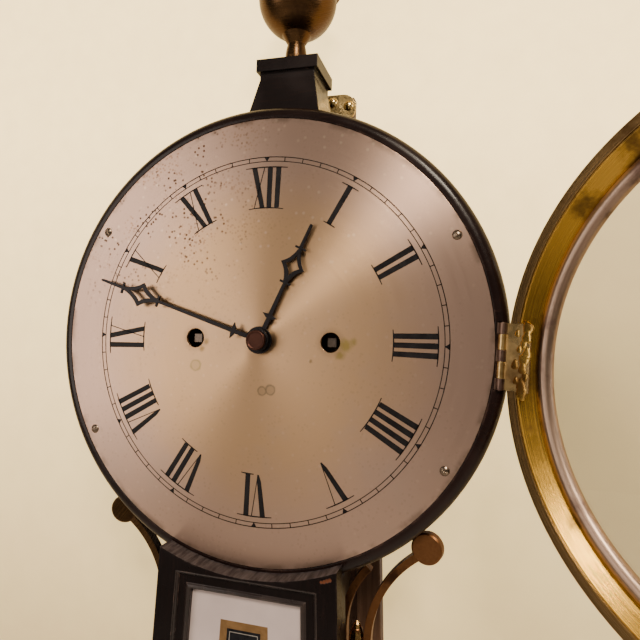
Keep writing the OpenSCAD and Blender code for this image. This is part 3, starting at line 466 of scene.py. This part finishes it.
FINISHES = {
    "dial": ["dial"],
    "rim": ["head_rim", "head_hoop"],
    "wood_z": ["throat_side_left", "throat_side_right", "box_side_left", "box_side_right"],
    "wood_x": ["box_top", "box_bottom", "door_frame"],
    "plinth": ["plinth"],
    "throat": ["throat_frame"],
    "back": ["head_back", "throat_back", "box_back"],
    "bezel": ["bezel_ring"],
    "retainer": ["bezel_retainer"],
    "leaf": ["bezel_hinge_leaf"],
    "leaf_dark": ["rim_hinge_leaf", "rim_hinge_pin"],
    # both side arms are one bronze: the left one darker as painted shade, the right one lighter as painted
    # light
    "bronze": ["finial", "side_arm_left"],
    "arm": ["side_arm_right"],
    "copper": ["hand_nut"],
    "brass": ["hanger_plate", "box_hinge_leaves", "door_hinge_leaves"],
    "bright": ["hanger_screws", "arm_screws", "door_latch", "pendulum_bob", "rating_nut"],
    "works": ["front_plate", "rear_plate", "pillars", "suspension_cock", "going_barrel", "strike_barrel",
              "centre_wheel", "third_wheel", "escape_wheel", "minute_wheel", "hour_wheel", "cannon_pinion",
              "pin_wheel"],
    "screw": ["dial_screws"],
    "winding": ["going_winding_arbor", "strike_winding_arbor"],
    "steel": ["anchor", "suspension_spring", "pendulum_rod", "hammer", "gong_coil"],
    "blued": ["minute_hand", "hour_hand", "hand_washers"],
    "iron": ["gong_block"],
    "milk": ["throat_glass", "door_glass"],
    "clear": ["bezel_glass"],
}
for look, names in FINISHES.items():
    for name in names:
        NODES[name].data.materials.clear()
        NODES[name].data.materials.append(MAT[look])


# ---- mesh helpers ------------------------------------------------------------------------------
def piece(name, verts, faces, look, body, slot, smooth=False):
    """A new piece from points and faces, with outward normals and a finish, riding on its body."""
    mesh = bpy.data.meshes.new(name)
    mesh.from_pydata([tuple(v) for v in verts], [], faces)
    bm = bmesh.new()
    bm.from_mesh(mesh)
    bmesh.ops.recalc_face_normals(bm, faces=bm.faces)
    for face in bm.faces:
        face.smooth = smooth
    bm.to_mesh(mesh)
    bm.free()
    made = bpy.data.objects.new(name, mesh)
    bpy.context.scene.collection.objects.link(made)
    made.data.materials.append(MAT[look])
    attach(made, body)


def prisms(outlines, y_front, y_back):
    """Points and faces of flat outlines in x and z (mm from the dial centre), each given thickness."""
    verts, faces = [], []
    for outline in outlines:
        n, start = len(outline), len(verts)
        verts += [at_dial(x, y, z) for y in (y_front, y_back) for x, z in outline]
        faces.append([start + i for i in range(n)])
        faces.append([start + n + i for i in reversed(range(n))])
        for i in range(n):
            after = (i + 1) % n
            faces.append([start + i, start + after, start + n + after, start + n + i])
    return verts, faces


def strip(inner, outer, closed=False):
    """Four-sided outlines that fill the space between two lines of points."""
    if closed:
        inner, outer = [*inner, inner[0]], [*outer, outer[0]]
    return [list(corners) for corners in zip(inner, inner[1:], outer[1:], outer)]


def polar(r, degrees):
    """A point at a radius and an angle from the viewer's right."""
    return (r * math.cos(math.radians(degrees)), r * math.sin(math.radians(degrees)))


def band_between(r0, r1, a0, a1, n):
    """Four-sided outlines that fill a ring between two radii and two angles."""
    angles = [a0 + (a1 - a0) * i / n for i in range(n + 1)]
    return strip([polar(r0, a) for a in angles], [polar(r1, a) for a in angles])


def grown(corners, d):
    """The corners of a convex outline, given clockwise or anticlockwise, moved outwards by d."""
    middle_x = sum(c[0] for c in corners) / len(corners)
    middle_z = sum(c[1] for c in corners) / len(corners)
    lines = []
    for (x0, z0), (x1, z1) in zip(corners, corners[1:] + corners[:1]):
        normal = np.array([z1 - z0, x0 - x1]) / math.hypot(x1 - x0, z1 - z0)
        if normal @ np.array([x0 - middle_x, z0 - middle_z]) < 0:
            normal = -normal
        lines.append((normal, normal @ np.array([x0, z0]) + d))
    return [tuple(np.linalg.solve(np.array([a[0], b[0]]), np.array([a[1], b[1]])))
            for a, b in zip(lines[-1:] + lines[:-1], lines)]


def moulding(name, corners, profile, look, body, slot):
    """A mitred frame moulding round the corners. The profile is (distance outwards, depth) points."""
    rings = [[(x, y, z) for x, z in grown(corners, d)] for d, y in profile]
    n = len(corners)
    verts = [at_dial(*p) for ring in rings for p in ring]
    faces = []
    for r in range(len(rings)):
        here, after = r * n, (r + 1) % len(rings) * n
        faces += [[here + i, here + (i + 1) % n, after + (i + 1) % n, after + i] for i in range(n)]
    piece(name, verts, faces, look, body, slot)


def lathe(outline, steps, matrix):
    """Points and faces of an outline of (radius, height) turned about Z, then placed by the matrix."""
    n = len(outline)
    verts = [matrix @ Vector((r * math.cos(a), r * math.sin(a), h))
             for a in (2 * math.pi * k / steps for k in range(steps)) for r, h in outline]
    faces = [[k * n + i, k * n + i + 1, (k + 1) % steps * n + i + 1, (k + 1) % steps * n + i]
             for k in range(steps) for i in range(n - 1)]
    faces.append([k * n for k in range(steps)])
    faces.append([k * n + n - 1 for k in reversed(range(steps))])
    return verts, faces


# ---- dial marks ----------------------------------------------------------------------------------
# radii and sizes in millimetres
NUMERAL_IN, NUMERAL_OUT = 0.72 * MINUTE_R / MM, 0.943 * MINUTE_R / MM
TRACK_IN, TRACK_OUT = 0.9725 * MINUTE_R / MM, MINUTE_R / MM
THICK, THIN = 2.4, 0.42
ADVANCE = {"I": 3.95, "X": 7.4, "V": 7.7}  # from one letter to the next
EXTRA_BEFORE_X = 0.3
SERIF_OVERHANG = 2.9
SERIF_THICK = 0.6
SERIF_STEPS = 12
FOOT_SHARE = 0.16  # share of a stroke's height over which a V narrows to its point
INK_FRONT, INK_BACK = -0.05, 0.02
ROMAN = ["I", "II", "III", "IIII", "V", "VI", "VII", "VIII", "IX", "X", "XI", "XII"]


def letter_strokes(letters):
    """Strokes as (place of the head, place of the foot, thickness), the places of feet, the width."""
    strokes, feet, at, last = [], [], 0.0, None
    for letter in letters:
        if last is not None:
            at += ADVANCE[last] + (EXTRA_BEFORE_X if letter == "X" else 0)
        if letter == "I":
            strokes.append((at, at, THICK))
            feet.append(at)
        elif letter == "X":
            strokes += [(at, at + 4.0, THICK), (at + 4.8, at, THIN)]
            feet += [at, at + 4]
        else:
            strokes += [(at, at + 2.4, THICK), (at + 5.1, at + 2.7, THIN)]
        last = letter
    width = max(max(head, foot) for head, foot, _ in strokes)
    strokes = [(head - width / 2, foot - width / 2, thick) for head, foot, thick in strokes]
    return strokes, [x - width / 2 for x in feet], width


def numeral(hour, letters):
    """Outlines of one numeral, standing with its feet towards the dial centre."""
    angle = math.radians(90 - 30 * hour)
    mid_r = (NUMERAL_IN + NUMERAL_OUT) / 2

    def point(t, r):
        t *= 1 + 0.35 * (r / mid_r - 1)
        return (r * math.cos(angle) + t * math.sin(angle), r * math.sin(angle) - t * math.cos(angle))

    def serif(t0, t1, r):
        low, high = [], []
        for i in range(SERIF_STEPS + 1):
            t = t0 + (t1 - t0) * i / SERIF_STEPS
            half = SERIF_THICK / 2 * (0.62 + 0.38 * math.sin(math.pi * i / SERIF_STEPS))
            bow = math.sqrt(max(r * r - t * t, 0)) - r
            low.append(point(t, r + bow - half))
            high.append(point(t, r + bow + half))
        return strip(low, high)

    strokes, feet, width = letter_strokes(letters)
    outlines = []
    for head, foot, thick in strokes:
        pointed = "V" in letters and abs(head - foot) > 2 and foot not in feet
        end = 0.2 if pointed else thick / 2
        knee = NUMERAL_IN + FOOT_SHARE * (NUMERAL_OUT - NUMERAL_IN)
        bend = foot + FOOT_SHARE * (head - foot)
        wide = 0.84 * thick / 2 if pointed else thick / 2
        for t0, t1, r0, r1, w0, w1 in ((foot, bend, NUMERAL_IN, knee, end, wide),
                                       (bend, head, knee, NUMERAL_OUT, wide, thick / 2)):
            outlines.append([point(t0 - w0, r0), point(t0 + w0, r0), point(t1 + w1, r1), point(t1 - w1, r1)])
    reach = width / 2 + THICK / 2 + SERIF_OVERHANG
    outlines += serif(-reach, reach, NUMERAL_OUT)
    if feet:
        outlines += serif(min(feet) - SERIF_OVERHANG, max(feet) + SERIF_OVERHANG + 0.6, NUMERAL_IN)
    return outlines


def dial_marks():
    """The twelve numerals and the minute track, as thin ink on the dial."""
    outlines = [o for h, letters in enumerate(ROMAN, 1) for o in numeral(h, letters)]
    piece("dial_numerals", *prisms(outlines, INK_FRONT, INK_BACK), "ink", "case", "blackened_steel")
    track = band_between(TRACK_OUT - 0.38, TRACK_OUT + 0.04, 0, 360, 240)
    track += band_between(TRACK_IN - 0.04, TRACK_IN + 0.34, 0, 360, 240)
    for minute in range(60):
        a = 90 - 6 * minute
        if minute % 5:
            half = math.degrees(0.22 / TRACK_OUT)
            track.append([polar(TRACK_IN, a - half), polar(TRACK_IN, a + half),
                          polar(TRACK_OUT, a + half), polar(TRACK_OUT, a - half)])
        else:
            half = math.degrees(1.45 / TRACK_OUT)
            track.append([polar(TRACK_IN, a), polar(TRACK_OUT, a + half), polar(TRACK_OUT, a - half)])
    piece("minute_track", *prisms(track, INK_FRONT, INK_BACK), "ink", "case", "blackened_steel")


# ---- throat and door panels -------------------------------------------------------------------------
LINE = 0.3              # width of the painted white lines, mm
LOZENGE_SPACING = 70    # height of panel for each lozenge, mm
LOZENGE_TALL = 1.3      # height of a lozenge as a share of its width


def tablet(name, corners, border, y_front, body):
    """A painted panel on its glass: gilt frame, black field, a fine white line, a row of lozenges."""
    def paint(part, outlines, front, back, look):
        piece(name + part, *prisms(outlines, y_front + front, y_front + back), look, body, "painted_glass")

    inner = grown(corners, -border)
    paint("_gilt", strip(inner, corners, True), -0.05, 0.02, "gilt")
    paint("_field", [inner], -0.03, 0.02, "black_paint")
    outlines = strip(grown(inner, -0.35 * border - LINE), grown(inner, -0.35 * border), True)
    xs, zs = [p[0] for p in inner], [p[1] for p in inner]
    wide, tall = max(xs) - min(xs), max(zs) - min(zs)
    count = max(1, round(tall / LOZENGE_SPACING))
    reach = min(0.26 * wide if tall > wide else 0.3 * tall, 0.42 * tall / count)
    x = (max(xs) + min(xs)) / 2
    for k in range(count):
        z = min(zs) + tall * (k + 0.5) / count
        for size in (reach, reach / 2):
            outer = [(x + size, z), (x, z + LOZENGE_TALL * size), (x - size, z), (x, z - LOZENGE_TALL * size)]
            outlines += strip(grown(outer, -LINE), outer, True)
    paint("_line", outlines, -0.06, -0.02, "white_line")


THROAT_SLOPE = 0.045    # the throat narrows by this much on each side for its height
throat_low, throat_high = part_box("throat_frame")
box_z = (throat_low.z - CENTRE.z) / MM
throat_foot = (throat_high.x - throat_low.x) / 2 / MM


def throat_half(z):
    """Half the width of the throat's front at a height, mm."""
    return throat_foot - THROAT_SLOPE * (z - box_z)


def throat_outline(grow, top, low):
    """The throat's tapering outline between two heights, grown by a distance at its sides."""
    return [(-throat_half(top) - grow, top), (throat_half(top) + grow, top),
            (throat_half(low) + grow, low), (-throat_half(low) - grow, low)]


# mouldings as (distance outwards from the sight edge, depth from the step of the frame), mm
THROAT_PROFILE = [(0.05, 2.0), (0.0, 0.3), (0.25, -0.35), (0.9, -0.75), (1.7, -0.6), (2.25, -0.1),
                  (2.5, 0.02), (5.9, 0.02), (6.0, -0.3), (6.4, -0.95), (7.0, -1.4), (7.4, -1.5),
                  (7.6, -1.35), (7.6, 0.5)]
DOOR_PROFILE = [(0.05, 2.0), (0.0, 0.2), (0.3, -0.6), (1.1, -1.1), (2.0, -0.9), (2.7, -0.2),
                (3.0, 0.02), (7.4, 0.02), (7.6, -0.5), (8.2, -1.4), (9.0, -1.95), (9.6, -2.0),
                (9.8, 0.5)]
THROAT_STEP, DOOR_STEP = 1.4, 2.0        # how far the frames' steps lie behind their faces
SIGHT_TOP, SIGHT_FOOT = -111.5, 15       # ends of the throat's opening, from the dial and from the box
SIGHT_INSET = 16.3                       # frame left beside the opening
TABLET_TOP, TABLET_FOOT = -123.6, 25     # ends of the throat's tablet, likewise
TABLET_LEFT, TABLET_RIGHT = -11.6, 10.6  # ends of its upper edge
DOOR_REBATE = 2.8                        # how far the door's glass reaches under its frame
DOOR_MARGIN = 13                         # white glass left round the door's tablet
THROAT_BORDER, DOOR_BORDER = 3.4, 4.2    # gilt round the tablets


def on_dial(place):
    """A place of the frame as millimetres from the dial centre."""
    return (place - CENTRE) / MM


def panels():
    """The mouldings and painted tablets of the throat and of the box door."""
    step = on_dial(throat_low).y + THROAT_STEP
    sight = throat_outline(-SIGHT_INSET, SIGHT_TOP, box_z + SIGHT_FOOT)
    profile = [(d, step + y) for d, y in THROAT_PROFILE]
    moulding("throat_moulding", sight, profile, "bead", "case", "ebonized_wood")
    low = box_z + TABLET_FOOT
    spread = throat_half(low) - throat_half(TABLET_TOP)
    corners = [(TABLET_LEFT, TABLET_TOP), (TABLET_RIGHT, TABLET_TOP),
               (TABLET_RIGHT + spread, low), (TABLET_LEFT - spread, low)]
    tablet("throat_tablet", corners, THROAT_BORDER, on_dial(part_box("throat_glass")[0]).y, "case")

    step = on_dial(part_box("door_frame")[0]).y + DOOR_STEP
    glass_low, glass_high = (on_dial(corner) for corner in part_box("door_glass"))
    x0, z0 = glass_low.x + DOOR_REBATE, glass_low.z + DOOR_REBATE
    x1, z1 = glass_high.x - DOOR_REBATE, glass_high.z - DOOR_REBATE
    sight = [(x0, z1), (x1, z1), (x1, z0), (x0, z0)]
    profile = [(d, step + y) for d, y in DOOR_PROFILE]
    moulding("door_moulding", sight, profile, "bead", "box_door", "ebonized_wood")
    tablet("door_tablet", grown(sight, -DOOR_MARGIN), DOOR_BORDER, glass_low.y, "box_door")


# ---- bronze details -------------------------------------------------------------------------------------
BUD_X, BUD_FOOT = 45.5, -152    # mm from the dial centre
LUMP_RINGS, LUMP_STEPS = 4, 12


def arm_bud(side, name):
    """The faceted bud between the two branches of an arm, on the left (-1) or right (1)."""
    arm_y = (middle("side_arm_" + name).y - CENTRE.y) / MM + 0.5
    bud = [(0.6, 0), (2.5, 0.4), (2.9, 3), (3.9, 8), (4.1, 15), (3.4, 20.5), (2.5, 23.5), (1.5, 26),
           (0.3, 27.6)]
    matrix = Matrix.Translation(at_dial(side * BUD_X, arm_y, BUD_FOOT))
    verts, faces = lathe([(r * MM, h * MM) for r, h in bud], 8, matrix)
    piece("arm_bud_" + name, verts, faces, "gold", "case", "bright_brass")


def hinge_solder():
    """Lumps of old solder along the bezel leaf's inner edge, and a drop hanging below it."""
    lumps = []
    for k in range(9):
        z = -16.2 + 3.1 * k
        lumps.append((-10.4 + 0.9 * math.sin(2.3 * k), z, 2.1 + 0.5 * math.sin(1.7 * k + 1)))
        if k % 2:
            lumps.append((-7.0 + 0.8 * math.cos(1.9 * k), z + 1.2, 1.5 + 0.3 * math.cos(2.1 * k)))
    verts, faces = [], []
    for x, z, size in lumps:
        start = len(verts)
        for i in range(LUMP_RINGS):
            lift = 0.62 * math.cos(0.5 * math.pi * i / LUMP_RINGS)
            r = size * math.sin(0.5 * math.pi * (i + 1) / LUMP_RINGS)
            for k in range(LUMP_STEPS):
                a = 2 * math.pi * k / LUMP_STEPS
                reach = r * (1 + 0.16 * math.sin(3 * a + 5 * z))
                spot = Vector((x + reach * math.cos(a), -0.75 + lift, z + 1.25 * reach * math.sin(a)))
                verts.append(OPENED @ (HINGE + spot * MM))
        for i in range(LUMP_RINGS - 1):
            here, after = start + i * LUMP_STEPS, start + (i + 1) * LUMP_STEPS
            faces += [[here + k, here + (k + 1) % LUMP_STEPS, after + (k + 1) % LUMP_STEPS, after + k]
                      for k in range(LUMP_STEPS)]
        faces.append([start + k for k in range(LUMP_STEPS)])
        faces.append([start + (LUMP_RINGS - 1) * LUMP_STEPS + k for k in reversed(range(LUMP_STEPS))])
    piece("hinge_solder", verts, faces, "solder", "bezel", "aged_brass", smooth=True)


# ---- stage, lights and camera ---------------------------------------------------------------------------
def sheet_of(name, corners, mat):
    """One flat four-sided sheet of the stage."""
    mesh = bpy.data.meshes.new(name)
    mesh.from_pydata(corners, [], [[0, 1, 2, 3]])
    made = bpy.data.objects.new(name, mesh)
    bpy.context.scene.collection.objects.link(made)
    mesh.materials.append(mat)
    return made


def stage():
    """A cream wall behind the clock, seen only from the front, and a pale floor. The wall also glows to the
    camera alone, brighter towards the top: painted light.
    """
    wall_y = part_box("head_back")[1].y + 0.3 * MM
    floor_z = cad_box[0].z - 0.3
    f = plaster("stage_wall", (0.62, 0.47, 0.27))
    # painted light: the wall glows for camera rays alone, more strongly higher up and a little mottled, and
    # lights nothing else
    bright = f.band(f.axis("Z"), -0.34, 0.0, 0.55, 2.7, "LINEAR")
    seen = f.band(f.node("LightPath").outputs["Is Camera Ray"], 0, 1, 0.3, 1, "LINEAR")
    mottle = f.band(f.noise(90, 4, 0.5), 0, 1, 0.9, 1.1, "LINEAR")
    f.feed(f.bsdf.inputs["Emission Color"], (1.0, 0.72, 0.30))
    f.feed(f.bsdf.inputs["Emission Strength"], f.times(f.times(bright, seen), mottle))
    choose = f.node("MixShader")
    f.feed(choose.inputs[0], f.node("NewGeometry").outputs["Backfacing"])
    f.feed(choose.inputs[1], f.bsdf.outputs[0])
    f.feed(choose.inputs[2], f.node("BsdfTransparent").outputs[0])
    f.feed(f.out.inputs[0], choose.outputs[0])
    corners = [(x, wall_y, z) for x, z in ((-3, floor_z), (3, floor_z), (3, 2.5), (-3, 2.5))]
    wall = sheet_of("stage_wall", corners, f.mat)
    wall.visible_diffuse = wall.visible_shadow = False
    corners = [(x, y, floor_z) for x, y in ((-4, -4), (4, -4), (4, 4), (-4, 4))]
    sheet_of("stage_floor", corners, plaster("stage_floor", (0.78, 0.74, 0.68)).mat)


def area_light(name, place, size, watts, colour, aim=CENTRE):
    """A rectangular lamp at a place, pointed at the aim and not seen itself."""
    lamp = bpy.data.lights.new(name, "AREA")
    lamp.shape = "RECTANGLE"
    lamp.size, lamp.size_y = size
    lamp.energy = watts
    lamp.color = colour
    made = bpy.data.objects.new(name, lamp)
    bpy.context.scene.collection.objects.link(made)
    made.location = place
    made.visible_camera = False
    made.rotation_mode = "QUATERNION"
    made.rotation_quaternion = (Vector(aim) - Vector(place)).to_track_quat("-Z", "Y")


def lights():
    """A warm key from the upper right, softer lamps left, right and behind, and a pale world."""
    area_light("key", (0.55, -1.35, 1.05), (0.5, 0.42), 37, (1.0, 0.87, 0.7))
    area_light("window", (-1.05, -1.25, 0.05), (0.9, 1.1), 9.5, (1.0, 0.88, 0.77))
    area_light("side", (1.5, -0.35, 0.2), (0.6, 0.8), 5, (1.0, 0.93, 0.85))
    area_light("back_fill", (0, 1.9, -0.2), (1.4, 1.4), 34, (1.0, 0.96, 0.92), (0, 0, -0.35))
    world = bpy.data.worlds.new("studio")
    bpy.context.scene.world = world
    world.use_nodes = True
    tree = world.node_tree
    tree.nodes.clear()
    coords = tree.nodes.new("ShaderNodeTexCoord")
    split = tree.nodes.new("ShaderNodeSeparateXYZ")
    ramp = tree.nodes.new("ShaderNodeValToRGB")
    shift = tree.nodes.new("ShaderNodeMapRange")
    back = tree.nodes.new("ShaderNodeBackground")
    out = tree.nodes.new("ShaderNodeOutputWorld")
    tree.links.new(coords.outputs["Generated"], split.inputs[0])
    tree.links.new(split.outputs["Z"], shift.inputs["Value"])
    shift.inputs["From Min"].default_value = -1
    tree.links.new(shift.outputs[0], ramp.inputs[0])
    ramp.color_ramp.elements[0].position = 0.2
    ramp.color_ramp.elements[0].color = (0.30, 0.25, 0.21, 1)
    ramp.color_ramp.elements[1].position = 0.72
    ramp.color_ramp.elements[1].color = (0.95, 0.86, 0.74, 1)
    tree.links.new(ramp.outputs[0], back.inputs[0])
    back.inputs[1].default_value = 0.2
    pale = tree.nodes.new("ShaderNodeBackground")
    pale.inputs[0].default_value = (0.62, 0.575, 0.51, 1)
    seen = tree.nodes.new("ShaderNodeMixShader")
    tree.links.new(tree.nodes.new("ShaderNodeLightPath").outputs["Is Camera Ray"], seen.inputs[0])
    tree.links.new(back.outputs[0], seen.inputs[1])
    tree.links.new(pale.outputs[0], seen.inputs[2])
    tree.links.new(seen.outputs[0], out.inputs[0])


def camera():
    """Close to the dial, a little to its right, looking slightly left and up, as in the photograph."""
    made = bpy.data.objects.new("camera", bpy.data.cameras.new("camera"))
    bpy.context.scene.collection.objects.link(made)
    made.data.lens = 31.5
    made.data.sensor_width = 36
    made.data.clip_start = 0.01
    right, up, ahead = (0.9612, 0.2738, 0.0333), (-0.0237, -0.0384, 0.9990), (-0.2748, 0.9610, 0.0305)
    place = at_dial(95.5, -237.0, 2.3)
    made.matrix_world = Matrix([(right[i], up[i], -ahead[i], place[i]) for i in range(3)] + [(0, 0, 0, 1)])
    bpy.context.scene.camera = made


dial_marks()
panels()
arm_bud(-1, "left")
arm_bud(1, "right")
hinge_solder()
stage()
lights()
camera()
